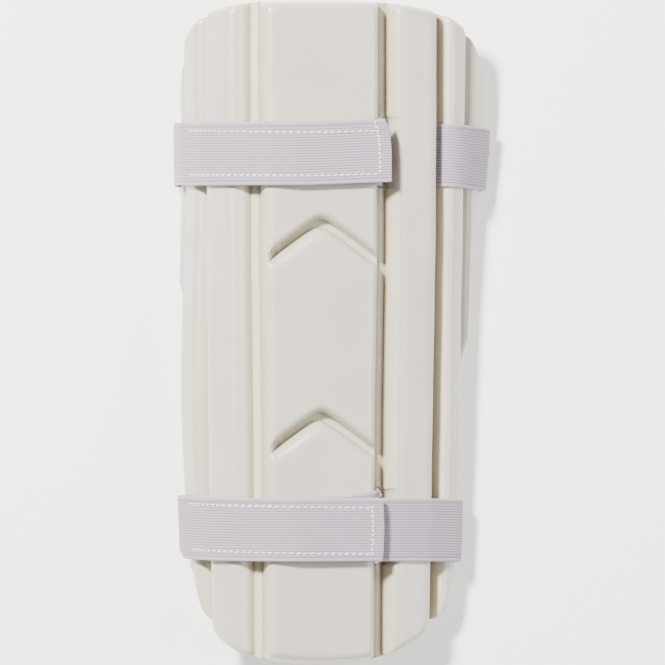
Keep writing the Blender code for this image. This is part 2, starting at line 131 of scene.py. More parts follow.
# How far each free end reaches past the middle rib, at shares of the way across the band
FREE_END = {
    "upper": ((0.0, 0.10, 0.22, 0.45, 1.0), (0.8, 1.9, 2.8, 3.5, 3.65)),
    "lower": ((0.0, 0.12, 0.50, 0.88, 1.0), (1.0, 1.6, 1.9, 1.6, 1.2)),
}

# Directions in degrees between which a strap lifts off to make room for its patch, and where
# each patch starts
ROOM_FROM, ROOM_FULL = -145.0, -165.0
PATCH_START = {"upper": -186.0, "lower": -200.0}

# Resting pose of the guard's frame: roll and pitch in radians, then the shift in millimetres
ROLL, PITCH = -0.005349, 0.077389
SHIFT = (-5.4172, 128.4802, 47.3997)


def place_in_world(points):
    """Points of the guard's frame, as an array of rows, in metres at rest."""
    turn = Matrix.Rotation(PITCH, 4, "X") @ Matrix.Rotation(ROLL, 4, "Y")
    turn = np.array(turn @ Matrix.Diagonal((1.0, -1.0, 1.0, 1.0)))[:3, :3]
    return (np.asarray(points) @ turn.T + np.array(SHIFT)) * 0.001


# Plan of the unfolded sheet

def taper(y):
    """The columns of TAPER at distances y, each as an array, with the table's corners eased."""
    table = np.array(TAPER)
    values = {}
    for k, name in enumerate(TAPER_COLUMNS):
        around = [np.interp((y + step) / LENGTH, table[:, 0], table[:, k + 1])
                  for step in TAPER_EASING]
        values[name] = sum(around) / len(around)
    return values


def by_side(side, table_of_side, rib):
    """One rib's values in a table of the two sides, for an array of sides."""
    return np.where(side > 0, table_of_side[1][rib], table_of_side[-1][rib])


def feet_of_ribs(y, side):
    """For each rib, arrays of the plan distances of its two feet."""
    row = taper(y)
    third = np.where(side > 0, row["third_right"], row["third_left"])
    widths = {
        1: by_side(side, RIB_WIDTHS, 1) * row["first"],
        2: by_side(side, RIB_WIDTHS, 2) * np.ones_like(y),
        3: np.maximum(by_side(side, RIB_WIDTHS, 3) * third, FLANGE),
    }
    edge = CENTRE_WIDTH * row["centre"] / 2
    feet = {0: (np.zeros_like(edge), edge)}
    for rib in (1, 2, 3):
        start = edge + GROOVES[rib]
        edge = start + widths[rib]
        feet[rib] = (start, edge)
    return feet


def end_curve(u, side, reach, rise, power):
    """How far a rounded end draws in at plan distance u from the middle."""
    full = np.where(side > 0, reach[1], reach[-1])
    share = np.minimum(u / full, 0.999)
    return rise * (1 - (1 - share ** power) ** (1 / power))


def elbow_edge(u, side):
    return end_curve(u, side, ELBOW_END_REACH, ELBOW_END_RISE, ELBOW_END_POWER)


def wrist_edge(u, side):
    return LENGTH - end_curve(u, side, WRIST_END_REACH, WRIST_END_RISE, WRIST_END_POWER)


# Height of the ribs above the sheet

def shoulder(distance):
    """Height of a rounded wall at a distance in from its foot, from 0 to 1."""
    share = np.clip(distance / SHOULDER, 0.0, 1.0)
    return (1 - (1 - share) ** SHOULDER_POWER) ** (1 / SHOULDER_POWER)


def soft_min(a, b):
    """The lesser of two distances, with the corner between them rounded."""
    mix = np.maximum(CORNER_BLEND - np.abs(a - b), 0.0) / CORNER_BLEND
    return np.minimum(a, b) - mix * mix * CORNER_BLEND / 4


def chevron_rise(u):
    """How far down the arm from its point a chevron's arm lies at plan distance u."""
    arm = np.hypot(u, CHEVRON_ROUNDING) - CHEVRON_ROUNDING
    return arm * math.tan(math.radians(CHEVRON_SLOPE))


def ripple(u, y):
    """Slight unevenness of the moulded foam, from -1 to 1."""
    waves = np.sin(u * 0.21 + y * 0.043 + 1.3) + np.sin(u * 0.13 - y * 0.071 + 0.4)
    return (waves + np.sin(y * 0.17 + 2.1 * np.sin(u * 0.08))) / 3


def rib_height(rib, inner, outer, u, side, y):
    """Height of the face over the sheet's, from the distances to the rib's two feet.

    The third rib loses height as well as width where it tapers off.
    """
    for k, stretch in LEFT_WALL_STRETCH.items():
        inner = np.where((rib == k) & (side < 0), inner * stretch, inner)
    across = soft_min(inner, outer)
    step = np.abs(wrist_edge(u + 1, side) - wrist_edge(np.maximum(u - 1, 0), side)) / 2
    slope = np.cos(np.arctan(step))
    along = soft_min(y - elbow_edge(u, side), (wrist_edge(u, side) - y) * slope)
    distance = soft_min(across, along)
    full = np.choose(rib, [RIB_HEIGHTS[k] for k in range(4)]).astype(float)
    narrow = by_side(side, RIB_WIDTHS, 3) / 3
    full = np.where(rib == 3, full * np.minimum((inner + outer) / narrow, 1.0) ** 2, full)
    height = full * shoulder(distance)
    for place in CHEVRONS:
        middle = place * LENGTH + chevron_rise(u)
        away = np.abs(y - middle) * math.cos(math.radians(CHEVRON_SLOPE))
        steep = np.where(y < middle, CHEVRON_STEEPNESS["above"], CHEVRON_STEEPNESS["below"])
        dip = 1 - shoulder((away - CHEVRON_WIDTH / 2) * steep)
        left = np.clip((outer - CHEVRON_CLOSED) / CHEVRON_FADE, 0.0, 1.0)
        dip = dip * np.where(side < 0, left * left * (3 - 2 * left), 1.0)
        capped = np.minimum(height, full * (1 - CHEVRON_DEPTH * dip))
        height = np.where(rib == 0, capped, height)
    return np.maximum(height, 0.0)


def bend(u, height, y, side, on_centre=False):
    """Points (x, z) of the bent section, as two arrays.

    With on_centre the middle rib's slope runs on past its foot, as under a strap's free end.
    """
    row = taper(y)
    feet = feet_of_ribs(y, side)
    angle = side * math.radians(LEAN)
    left = u
    step = left if on_centre else np.minimum(left, feet[0][1])
    x = side * step * np.cos(angle)
    z = -step * np.sin(angle)
    left = left - step
    for rib in (1, 2, 3):
        share = np.where(side > 0, row["bend_right"], row["bend_left"])
        turn = np.radians(by_side(side, BENDS, rib)) * share
        groove = GROOVES[rib]
        radius = groove / turn
        step = np.minimum(left, groove)
        swept = step / radius
        x = x + side * radius * (np.sin(angle + swept) - np.sin(angle))
        z = z + radius * (np.cos(angle + swept) - np.cos(angle))
        angle = angle + swept
        left = left - step
        width = feet[rib][1] - feet[rib][0]
        step = left if rib == 3 else np.minimum(left, width)
        x = x + side * step * np.cos(angle)
        z = z - step * np.sin(angle)
        left = left - step
    return x + side * height * np.sin(angle), z + height * np.cos(angle)


# Grid of the shell. Its columns are (side, kind, share of the width, share of the shoulder):
# kinds 0 to 3 are the ribs, and 11 to 13 are the grooves inside ribs 1 to 3.

NARROWEST = 0.05
WALL = (0.0, 0.02, 0.06, 0.13, 0.24, 0.40, 0.64, 1.0)
FACE_STEPS = {0: 9, 1: 6, 2: 3, 3: 4}
GROOVE_SHARES = {1: (0.16, 0.38, 0.62, 0.84), 2: (0.16, 0.38, 0.62, 0.84), 3: (0.3, 0.7)}
FIRST_GROOVE = 10

# Distances of grid rows from the shell's ends, from a chevron's floor and from a slot's ends
END_ROWS = (0.0, 0.1, 0.3, 0.6, 1.0, 1.6, 2.3, 3.1, 4.0, 5.0)
CHEVRON_ROWS = (0.0, 0.12, 0.35, 0.7, 1.2, 1.9, 2.7, 3.6, 4.6, 5.8)
SLOT_ROWS = (0.0, 0.15, 0.5, 1.0, 1.7)
ROW_STEP = 1.3
GRID_PASSES = 4
ROW_MERGE = 0.09

# Rows run straight across between these shares of the length, but bend along nearby chevrons
STRAIGHT_ROWS = (0.27, 0.72)
WARP_REACH = SHOULDER * 1.3 + CHEVRON_WIDTH
WARP_FADE = 18.0

# Slots: strap and groove, radius of the ends, how far they push into the first right rib, and
# how much of the groove's floor is left at each side
SLOTS = (("lower", 1), ("upper", 1), ("upper", 2))
SLOT_ROUND = 2.4
SLOT_BULGE = 1.0
SLOT_RIM = 0.03

# Gathers round a slot's ends: height, distance past the end, and width
LIP_GATHER = (0.5, 0.7, 0.8)
NEXT_GATHER = (0.35, 3.1, 0.9)
LIP_START = -0.5


def fine_columns():
    """The columns from the left rim to the right one."""
    half = [(0, k / FACE_STEPS[0], -k / FACE_STEPS[0]) for k in range(1, FACE_STEPS[0])]
    half += [(0, 1.0, -inset) for inset in reversed(WALL)]
    for rib in (1, 2, 3):
        half += [(FIRST_GROOVE + rib, share, 0.0) for share in GROOVE_SHARES[rib]]
        half += [(rib, 0.0, inset) for inset in WALL]
        shares = [k / FACE_STEPS[rib] for k in range(1, FACE_STEPS[rib])]
        half += [(rib, share, 1 - 2 * share) for share in shares]
        half += [(rib, 1.0, -inset) for inset in reversed(WALL)]
    left = [(-1,) + column for column in reversed(half)]
    return left + [(1, 0, 0.0, 0.0)] + [(1,) + column for column in half]


def slot_span(name):
    """Where the slots of a strap start and end along the arm."""
    start = STRAP_PLACES[name] * LENGTH
    return start - SLOT_REACH[name][0], start + STRAP_WIDTH + SLOT_REACH[name][1]


def slot_opening(name, y):
    """How far open a strap slot is at y, from 0 to 1: straight sides and round ends."""
    low, high = slot_span(name)
    low, high = low + SLOT_ROUND, high - SLOT_ROUND
    beyond = np.maximum(np.maximum(low - y, y - high), 0.0) / SLOT_ROUND
    return np.sqrt(np.maximum(1 - beyond ** 2, 0.0))


def slot_bulge(y):
    """How far the slots beside the first right rib reach into its wall at y."""
    return SLOT_BULGE * np.maximum(slot_opening("upper", y), slot_opening("lower", y))


def hump(place, height, centre, width):
    return height * np.exp(-((place - centre) / width) ** 2)


def pucker(y):
    """Height of the gathered skin round the ends of the slots beside the middle rib."""
    total = np.zeros_like(y)
    for name in STRAP_PLACES:
        low, high = slot_span(name)
        for away in (low - y, y - high):
            total = total + hump(away, *LIP_GATHER) * (away > LIP_START)
            total = total + hump(away, *NEXT_GATHER)
    return total


def column_places(columns, y):
    """Arrays over rows and columns: u, side, rib, distances to the rib's feet, is a groove."""
    side, kind, share, inset = (np.array(column)[None, :] for column in zip(*columns))
    side, kind = (column * np.ones_like(y, dtype=int) for column in (side, kind))
    groove = kind > FIRST_GROOVE
    rib = np.where(groove, kind - FIRST_GROOVE, kind)
    feet = feet_of_ribs(y, side)
    start = np.choose(rib, [feet[k][0] for k in range(4)])
    end = np.choose(rib, [feet[k][1] for k in range(4)])
    width = end - start
    room = np.minimum(SHOULDER, width / 2 - NARROWEST)
    u = start + share * width + inset * room
    for k in (1, 2, 3):
        gap = GROOVES[k]
        middle = feet[k][0] - gap / 2
        off = (share - 0.5) * gap * np.ones_like(y)
        for name, at in SLOTS:
            if at == k:
                half = (gap / 2 - SLOT_RIM) * np.where(side > 0, slot_opening(name, y), 0.0)
                inner_pair = np.abs(share - 0.5) < 0.2
                shifted = np.where(inner_pair, half, (half + gap / 2) / 2)
                off = np.where(np.abs(off) < shifted, np.sign(share - 0.5) * shifted, off)
        u = np.where(kind == FIRST_GROOVE + k, middle + off, u)
    inner = np.where(rib == 0, 2 * width, u - start)
    outer = end - u
    bulge = np.where(side > 0, slot_bulge(y), 0.0)
    beside = np.where(kind == 1, np.clip(1 - inner / SHOULDER, 0, 1), 0.0)
    beside = np.where((kind == FIRST_GROOVE + 1) & (share > 0.5), 1.0, beside)
    return u + bulge * beside, side, rib, inner, outer, groove


def beside_centre():
    """Plan distance of the middle of the groove beside the middle rib."""
    return np.array(CENTRE_WIDTH / 2 + GROOVES[1] / 2)


def chevron_warp(u, base):
    """How far up the arm a row moves at u so that it follows the chevrons near it."""
    reference = chevron_rise(beside_centre())
    lift = np.maximum(reference - chevron_rise(u), 0.0)
    share = np.zeros_like(base)
    for place in CHEVRONS:
        away = np.abs(base - (place * LENGTH + reference))
        share = np.maximum(share, np.clip((WARP_REACH + WARP_FADE - away) / WARP_FADE, 0, 1))
    return lift * share


def row_places(base, u, side):
    """Where the grid row that is at base in the groove beside the middle rib lies at u."""
    edge = beside_centre()
    top, bottom = elbow_edge(edge, 1), wrist_edge(edge, 1)
    straight_from, straight_to = LENGTH * STRAIGHT_ROWS[0], LENGTH * STRAIGHT_ROWS[1]
    near_top = np.maximum(1 - (base - top) / (straight_from - top), 0.0)
    near_bottom = np.maximum(1 - (bottom - base) / (bottom - straight_to), 0.0)
    moved = (elbow_edge(u, side) - top) * near_top
    moved = moved + (wrist_edge(u, side) - bottom) * near_bottom
    return base + moved - chevron_warp(u, base)


def fine_rows():
    """Places of the rows in the groove beside the middle rib, closest where walls are steep."""
    edge = beside_centre()
    top, bottom = float(elbow_edge(edge, 1)), float(wrist_edge(edge, 1))
    rows = []
    for inset in END_ROWS:
        rows += [top + inset, bottom - inset]
    across = CHEVRON_WIDTH / 2 / math.cos(math.radians(CHEVRON_SLOPE))
    for place in CHEVRONS:
        middle = place * LENGTH + float(chevron_rise(edge))
        for away in CHEVRON_ROWS:
            rows += [middle - across - away, middle + across + away]
        rows += [middle - across / 2, middle, middle + across / 2]
    for name in STRAP_PLACES:
        low, high = slot_span(name)
        for inset in SLOT_ROWS + (SLOT_ROUND,):
            rows += [low + inset, high - inset]
    rows = sorted(rows)
    kept = [rows[0]]
    for row in rows[1:]:
        if row - kept[-1] > ROW_MERGE:
            kept.append(row)
    filled = []
    for low, high in zip(kept, kept[1:]):
        count = max(math.ceil((high - low) / ROW_STEP), 1)
        filled += [low + (high - low) * k / count for k in range(count)]
    return np.array(filled + [kept[-1]])


# Meshes

SMOOTH_ANGLE = 60.0


def new_object(name, points, faces, material):
    mesh = bpy.data.meshes.new(name)
    mesh.from_pydata(place_in_world(points).tolist(), [], faces)
    mesh.validate()
    mesh.materials.append(material)
    mesh.shade_smooth()
    mesh.set_sharp_from_angle(angle=math.radians(SMOOTH_ANGLE))
    item = bpy.data.objects.new(name, mesh)
    bpy.context.scene.collection.objects.link(item)
    return item


def set_attribute(item, name, values):
    attribute = item.data.attributes.new(name, "FLOAT", "POINT")
    attribute.data.foreach_set("value", np.asarray(values, dtype=np.float32).ravel())


def grid_faces(rows, columns, cell=None):
    """Quads of an outer grid where cell is true, the same inside it, and the rims between."""
    index = np.arange(rows * columns).reshape(rows, columns)
    if cell is None:
        cell = np.ones((rows - 1, columns - 1), dtype=bool)
    a, b = index[:-1, :-1][cell], index[1:, :-1][cell]
    c, d = index[1:, 1:][cell], index[:-1, 1:][cell]
    size = rows * columns
    outer = np.stack((a, b, c, d), axis=1)
    inner = outer[:, ::-1] + size
    edges = np.concatenate([outer[:, [k, (k + 1) % 4]] for k in range(4)])
    forward = edges[:, 0] * size + edges[:, 1]
    backward = edges[:, 1] * size + edges[:, 0]
    rim = edges[~np.isin(forward, backward)]
    strips = np.stack((rim[:, 1], rim[:, 0], rim[:, 0] + size, rim[:, 1] + size), axis=1)
    return np.concatenate((outer, inner, strips)).tolist()


# Painted shade in the skin's colour, from 0 to 1, on the lit floor of the first left groove and
# inside
LIT_FLOOR = 0.55
INNER_SIDE = 0.15


def shell_grid():
    """The columns, and for each grid point its row's base and its own place along the arm."""
    columns = fine_columns()
    base = fine_rows()[:, None] * np.ones((1, len(columns)))
    y = base.copy()
    for _ in range(GRID_PASSES):
        u, side = column_places(columns, y)[:2]
        y = row_places(base, u, side)
    return columns, base, y


def shell_piece(material):
    columns, base, y = shell_grid()
    u, side, rib, inner, outer, groove = column_places(columns, y)
    gathered = np.where(groove & (rib == 1) & (side > 0), pucker(y), 0.0)
    height = np.where(groove, gathered, rib_height(rib, inner, outer, u, side, y))
    full = np.choose(rib, [RIB_HEIGHTS[k] for k in range(4)])
    # Painted shade: the further a point lies below its rib's full height, the warmer and darker;
    # groove floors are full dark tan except the lit first left one
    floor_shade = np.where((rib == 1) & (side < 0), LIT_FLOOR, 1.0)
    painted_shade = np.where(groove, floor_shade, 1 - np.clip(height / full, 0, 1))
    face = height + UNEVENNESS * ripple(u * side, y) * np.clip(height / 3, 0, 1)
    x, z = bend(u, face, y, side)
    x_in, z_in = bend(u, np.full_like(y, -SHEET), y, side)
    rows, count = y.shape
    solid = np.ones((rows - 1, count - 1), dtype=bool)
    line = base[:, 0]
    for name, at in SLOTS:
        low, high = slot_span(name)
        inside = (line[:-1] >= low - 1e-6) & (line[1:] <= high + 1e-6)
        left = columns.index((1, FIRST_GROOVE + at, GROOVE_SHARES[at][1], 0.0))
        solid[inside, left] = False
    points = np.concatenate((np.stack((x, y, z), -1).reshape(-1, 3),
                             np.stack((x_in, y, z_in), -1).reshape(-1, 3)))
    item = new_object("foam_shell", points, grid_faces(rows, count, solid), material)
    inner_side = np.full(painted_shade.size, INNER_SIDE)
    set_attribute(item, "painted_shade", np.concatenate((painted_shade.ravel(), inner_side)))
    return item


# Paths of the straps, each a list of points (x, z, slip along the arm) at one place across

PROFILE_COLUMNS = fine_columns()

# A strap is taut over the highest of the sections within this reach
TAUT_REACH = 10.0
TAUT_STATIONS = 5

# Degrees that a loop starts before its first face and stops before a whole turn, and its steps
LOOP_START, LOOP_STOP = 5, 3
LOOP_STEPS = 180

# Shares of a wall's height at the points where a band hugs it, all of them and the lower ones
WALL_HEIGHTS = (0.1, 0.3, 0.5, 0.65, 0.8, 0.9, 0.96, 0.99)
LOW_WALL_HEIGHTS = WALL_HEIGHTS[:6]
EDGE_CLEARANCE = 0.1

# Distances of path points in from the middle rib's crest, and behind it from a slot's edge
TAIL_STEPS = (TAIL_LENGTH, TAIL_LENGTH / 2, 3.0)
ANCHOR_STEPS = (ANCHOR_LENGTH, 6.0, 1.6)

# The upper strap in its slots, in shares of their widths, and behind the first rib
WAY_IN, WAY_OUT = (0.33, 0.55), (0.22, 0.48)
TURN_INSET, TURN_LIFT = 0.4, 0.2
BEHIND_RIB = (0.08, 0.5, 0.93)

# Lengths over which corners and slips of a path are eased, and stations across a band
PATH_SOFTNESS = 0.7
SLIP_SOFTNESS = 5.0
BAND_STATIONS = 9


def shell_profile(y):
    """Points (x, z) all round the outside of the shell's section at y, and their ribs."""
    line = np.full((1, len(PROFILE_COLUMNS)), float(y))
    u, side, rib, inner, outer, groove = column_places(PROFILE_COLUMNS, line)
    height = rib_height(rib, inner, outer, u, side, line)
    keep = ~groove & (elbow_edge(u, side) <= y) & (y <= wrist_edge(u, side))
    x, z = bend(u, height, line, side)
    low_x, low_z = bend(u, np.full_like(line, -SHEET), line, side)
    low = keep & (rib >= 2)
    points = np.concatenate((np.stack((x[keep], z[keep]), 1),
                             np.stack((low_x[low], low_z[low]), 1)))
    return points, np.concatenate(((rib * side)[keep], (rib * side)[low]))


def spot(u, height, y, on_centre=False):
    """One point (x, z) of the right side's bent section."""
    x, z = bend(*(np.array([float(value)]) for value in (u, height, y)), np.array([1]),
                on_centre)
    return np.array((x[0], z[0]))


def right_feet(y):
    """Plan distances of the two feet of each right rib at y."""
    feet = feet_of_ribs(np.array([float(y)]), np.array([1]))
    return {rib: (float(pair[0][0]), float(pair[1][0])) for rib, pair in feet.items()}


def drift(name, direction):
    """Slip of a strap along the arm at an outward direction in degrees."""
    table = sorted(STRAP_DRIFT[name])
    return np.interp(direction, [row[0] for row in table], [row[1] for row in table])


def strap_span(name):
    start = STRAP_PLACES[name] * LENGTH
    return start, start + STRAP_WIDTH


def loop_surround(name, y):
    """Points (x, z) of all that a strap runs round at y: the shell and its own tail."""
    skipped = 1 if name == "upper" else None
    crest = right_feet(y)[0][1] - TAIL_INSET
    around = [spot(crest - TAIL_LENGTH, RIB_HEIGHTS[0] + GAP + STRAP_THICKNESS, y)[None, :]]
    for near in np.linspace(y - TAUT_REACH, y + TAUT_REACH, TAUT_STATIONS):
        points, ribs = shell_profile(near)
        around.append(points[ribs != skipped] if skipped else points)
    return np.concatenate(around)


def loop_directions(name):
    """Outward directions in degrees, from the strap's slot round the back to the top."""
    first = 2 if name == "upper" else 1
    turn = sum(BENDS[1][rib] for rib in range(1, first + 1))
    share = float(taper(np.array([STRAP_PLACES[name] * LENGTH]))["bend_right"][0])
    face = 90 - LEAN
    return np.linspace(face - turn * share + LOOP_START, face - 360 + LOOP_STOP, LOOP_STEPS)


def patch_room(direction):
    """How much further off the shell a strap runs where its hook tape lies under it."""
    return np.interp(direction, (ROOM_FULL, ROOM_FROM), (1.0, 0.0)) * (PATCH_THICKNESS + GAP)


def outermost(around, direction, offset):
    """The point that is outermost in a direction, moved off by offset."""
    normal = np.array((math.cos(math.radians(direction)), math.sin(math.radians(direction))))
    return around[np.argmax(around @ normal)] + normal * offset


def taut_path(name, y, directions, offset_at, top, past_foot, on_centre):
    """A band that is taut round the shell, then lies at height top over the middle rib."""
    around = loop_surround(name, y)
    path = []
    for direction in directions:
        x, z = outermost(around, direction, offset_at(direction))
        path.append((x, z, drift(name, direction)))
    foot = right_feet(y)[0][1]
    x, z = spot(foot - TAIL_INSET - TAIL_LENGTH + TAIL_LAP, top, y)
    path.append((x, z, path[-1][2]))
    x, z = spot(foot + past_foot, top, y, on_centre)
    return path + [(x, z, drift(name, FREE_END_DIRECTION))]


def strap_loop(name, y):
    """A strap from its slot round the back to its free end."""
    top = RIB_HEIGHTS[0] + 3 * GAP + 1.5 * STRAP_THICKNESS + PATCH_THICKNESS
    overhang = np.interp((y - strap_span(name)[0]) / STRAP_WIDTH, *FREE_END[name])
    return taut_path(name, y, loop_directions(name),
                     lambda direction: GAP + STRAP_THICKNESS / 2 + patch_room(direction),
                     top, overhang, True)


def patch_path(name, y):
    """A hook tape, between the strap's last stretch and what lies under it."""
    directions = [angle for angle in loop_directions(name) if angle < PATCH_START[name]]
    top = RIB_HEIGHTS[0] + 2 * GAP + STRAP_THICKNESS + PATCH_THICKNESS / 2
    return taut_path(name, y, directions, lambda direction: GAP + PATCH_THICKNESS / 2,
                     top, -PATCH_INSET, False)


def along_wall(rib, foot, toward, y, heights=WALL_HEIGHTS):
    """A band that climbs a rib's wall, which lies outwards of its foot if toward is 1."""
    offset = GAP + STRAP_THICKNESS / 2
    path = []
    for share in heights:
        inset = SHOULDER * (1 - (1 - share ** SHOULDER_POWER) ** (1 / SHOULDER_POWER))
        steep = (1 - inset / SHOULDER) ** (SHOULDER_POWER - 1) / share ** (SHOULDER_POWER - 1)
        slope = math.atan(steep * RIB_HEIGHTS[rib] / SHOULDER)
        u = foot + toward * (inset - offset * math.sin(slope))
        path.append(spot(u, RIB_HEIGHTS[rib] * share + offset * math.cos(slope), y))
    return path


def round_edge(foot, toward, y):
    """A band that turns under the sheet at the edge of a slot."""
    reach = GAP + STRAP_THICKNESS / 2 + EDGE_CLEARANCE
    path = []
    for angle in range(0, 91, 15):
        turn = math.radians(angle)
        path.append(spot(foot - toward * reach * math.cos(turn),
                         -SHEET - reach * math.sin(turn), y))
    return path


def upper_start(y):
    """The upper strap from its tail in at one slot, behind the first rib and out at the next."""
    feet = right_feet(y)
    offset = GAP + STRAP_THICKNESS / 2
    face = RIB_HEIGHTS[0] + offset
    back = -SHEET - offset
    foot = feet[0][1]
    slot = GROOVES[1]
    path = [spot(foot - TAIL_INSET - step, face, y) for step in TAIL_STEPS]
    path += list(reversed(along_wall(0, foot, -1, y)))
    path += [spot(foot + slot * WAY_IN[0], 0.0, y), spot(foot + slot * WAY_IN[1], -SHEET, y)]
    path += [spot(foot + slot - TURN_INSET, back + TURN_LIFT, y)]
    start, end = feet[1]
    path += [spot(start + share * (end - start), back, y) for share in BEHIND_RIB]
    slot = GROOVES[2]
    path += [spot(end + slot * WAY_OUT[0], back + TURN_LIFT, y)]
    path += [spot(end + slot * WAY_OUT[1], -SHEET, y)]
    path += along_wall(2, feet[2][0], 1, y, LOW_WALL_HEIGHTS)
    return path


def lower_start(y):
    """The lower strap from its hidden end behind the first rib, out at its slot."""
    back = -SHEET - GAP - STRAP_THICKNESS / 2
    start = right_feet(y)[1][0]
    path = [spot(start + step, back, y) for step in ANCHOR_STEPS]
    path += list(reversed(round_edge(start, 1, y)))
    path += along_wall(1, start, 1, y, LOW_WALL_HEIGHTS)
    return path


def loop_tab_path(y):
    """The loop tab, from its end on the middle rib to its hidden end behind it."""
    offset = GAP + STRAP_THICKNESS / 2
    face = RIB_HEIGHTS[0] + offset
    foot = right_feet(y)[0][1]
    path = [spot(foot - TAIL_INSET - step, face, y) for step in TAIL_STEPS]
    path += list(reversed(along_wall(0, foot, -1, y)))
    path += round_edge(foot, -1, y)
    path += [spot(foot - step, -SHEET - offset, y) for step in reversed(ANCHOR_STEPS)]
    slips = np.interp(range(len(path)), *zip(*TAB_SLIP))
    return [(x, z, slip) for (x, z), slip in zip(path, slips)]


def strap_path(name, y):
    start = upper_start(y) if name == "upper" else lower_start(y)
    slips = np.linspace(*START_SLIP[name], len(start))
    return [(x, z, slip) for (x, z), slip in zip(start, slips)] + strap_loop(name, y)


def ease(values, width):
    """Values smoothed over a width in samples, with both ends kept."""
    reach = min(int(width * 3) + 1, len(values) - 2)
    offsets = np.arange(-reach, reach + 1)
    weights = np.exp(-0.5 * (offsets / width) ** 2)
    weights /= weights.sum()
    padded = np.concatenate((2 * values[:1] - values[reach:0:-1], values,
                             2 * values[-1:] - values[-2:-reach - 2:-1]))
    return np.convolve(padded, weights, "valid")


def even_path(path, count):
    """A path with evenly spaced points and its corners eased, and its length."""
    path = np.array(path, dtype=float)
    gaps = np.linalg.norm(np.diff(path[:, :2], axis=0), axis=1)
    path = path[np.concatenate(([True], gaps > 1e-4))]
    gaps = np.linalg.norm(np.diff(path[:, :2], axis=0), axis=1)
    along = np.concatenate(([0.0], np.cumsum(gaps)))
    fine = np.linspace(0, along[-1], count * 4)
    dense = np.stack([np.interp(fine, along, path[:, k]) for k in range(3)], axis=1)
    step = along[-1] / len(fine)
    widths = (PATH_SOFTNESS, PATH_SOFTNESS, SLIP_SOFTNESS)
    eased = [ease(dense[:, k], width / step) for k, width in enumerate(widths)]
    pick = np.linspace(0, len(fine) - 1, count)
    return np.stack([np.interp(pick, np.arange(len(fine)), values) for values in eased],
                    axis=1), along[-1]


class Band:
    """A strip of cloth whose middle surface is known at each share along and across it."""

    def __init__(self, path_at, start, end, steps):
        self.start, self.end = start, end
        self.y = np.linspace(start, end, BAND_STATIONS)
        runs = [even_path(path_at(y), steps) for y in self.y]
        self.paths = np.array([run[0] for run in runs])
        self.length = float(np.mean([run[1] for run in runs]))
        ahead = np.roll(self.paths, -1, axis=1)
        ahead[:, -1] = self.paths[:, -1]
        behind = np.roll(self.paths, 1, axis=1)
        behind[:, 0] = self.paths[:, 0]
        tangent = (ahead - behind)[:, :, :2]
        tangent /= np.linalg.norm(tangent, axis=2, keepdims=True)
        self.normals = np.stack((-tangent[:, :, 1], tangent[:, :, 0]), axis=2)
        self.steps = steps

    def surface(self, across, along, lift):
        """Points at shares across and along (arrays), lifted off the middle surface."""
        row = np.clip(across, 0, 1) * (len(self.y) - 1)
        column = np.clip(along, 0, 1) * (self.steps - 1)
        r = np.minimum(row.astype(int), len(self.y) - 2)
        c = np.minimum(column.astype(int), self.steps - 2)
        fr, fc = (row - r)[..., None], (column - c)[..., None]

        def mixed(table):
            low = table[r, c] * (1 - fc) + table[r, c + 1] * fc
            high = table[r + 1, c] * (1 - fc) + table[r + 1, c + 1] * fc
            return low * (1 - fr) + high * fr

        place, normal = mixed(self.paths), mixed(self.normals)
        y = self.start + across * (self.end - self.start) + place[..., 2]
        return np.stack((place[..., 0] + normal[..., 0] * lift, y,
                         place[..., 1] + normal[..., 1] * lift), axis=-1)


# Elastic: ribs, weft and plain selvedge, height, place and width of the line and of the bead
# there, and the share of the relief on the back
RIB_PITCH = 1.04
RIB_RELIEF = 0.07
WEFT_PITCH = 0.62
SELVEDGE, PLAIN_STRIP = 1.5, 0.15
SEAM_LINE = (-0.16, SELVEDGE, 0.16)
EDGE_BEAD = (0.05, 0.8, 0.4)
BACK_RELIEF = 0.6

# A band's edges: rounding, thickness as a share, and distances of the mesh lines there
EDGE_ROUND = 0.55
EDGE_SHARE = 0.3
EDGE_LINES = (0.08, 0.2, 0.36)


def cloth_relief(v, width):
    """Relief of the elastic at distance v across it: fine ribs and a plain bead at each edge."""
    edge = np.minimum(v, width - v)
    ribs = RIB_RELIEF * np.cos(2 * math.pi * (v - SELVEDGE) / RIB_PITCH)
    ribbed = np.where(edge > SELVEDGE + PLAIN_STRIP, ribs, 0.0)
    return ribbed + hump(edge, *SEAM_LINE) + hump(edge, *EDGE_BEAD)


def half_thickness(v, width, thickness):
    """Half the thickness at distance v across a band, less at its rounded edges."""
    edge = np.clip(np.minimum(v, width - v) / EDGE_ROUND, 0, 1)
    return thickness / 2 * (EDGE_SHARE + (1 - EDGE_SHARE) * np.sqrt(1 - (1 - edge) ** 2))


def band_piece(name, band, thickness, material, lines, relief):
    """The mesh of a band with so many lines across it, and places along and across it."""
    width = band.end - band.start
    v = np.unique(np.concatenate((np.linspace(0, width, lines), EDGE_LINES,
                                  [width - line for line in EDGE_LINES])))
    across = (v / width)[:, None] * np.ones((1, band.steps))
    along = np.linspace(0, 1, band.steps)[None, :] * np.ones((len(v), 1))
    half = half_thickness(v, width, thickness)[:, None]
    rise = (cloth_relief(v, width) if relief else np.zeros_like(v))[:, None]
    outer = band.surface(across, along, half + rise)
    inner = band.surface(across, along, -half - rise * BACK_RELIEF)
    points = np.concatenate((outer.reshape(-1, 3), inner.reshape(-1, 3)))
    item = new_object(name, points, grid_faces(len(v), band.steps), material)
    for label, places in (("along", along * band.length), ("across", across * width),
                          ("from_end", (1 - along) * band.length)):
        set_attribute(item, label, np.tile(places.ravel(), 2))
    return item


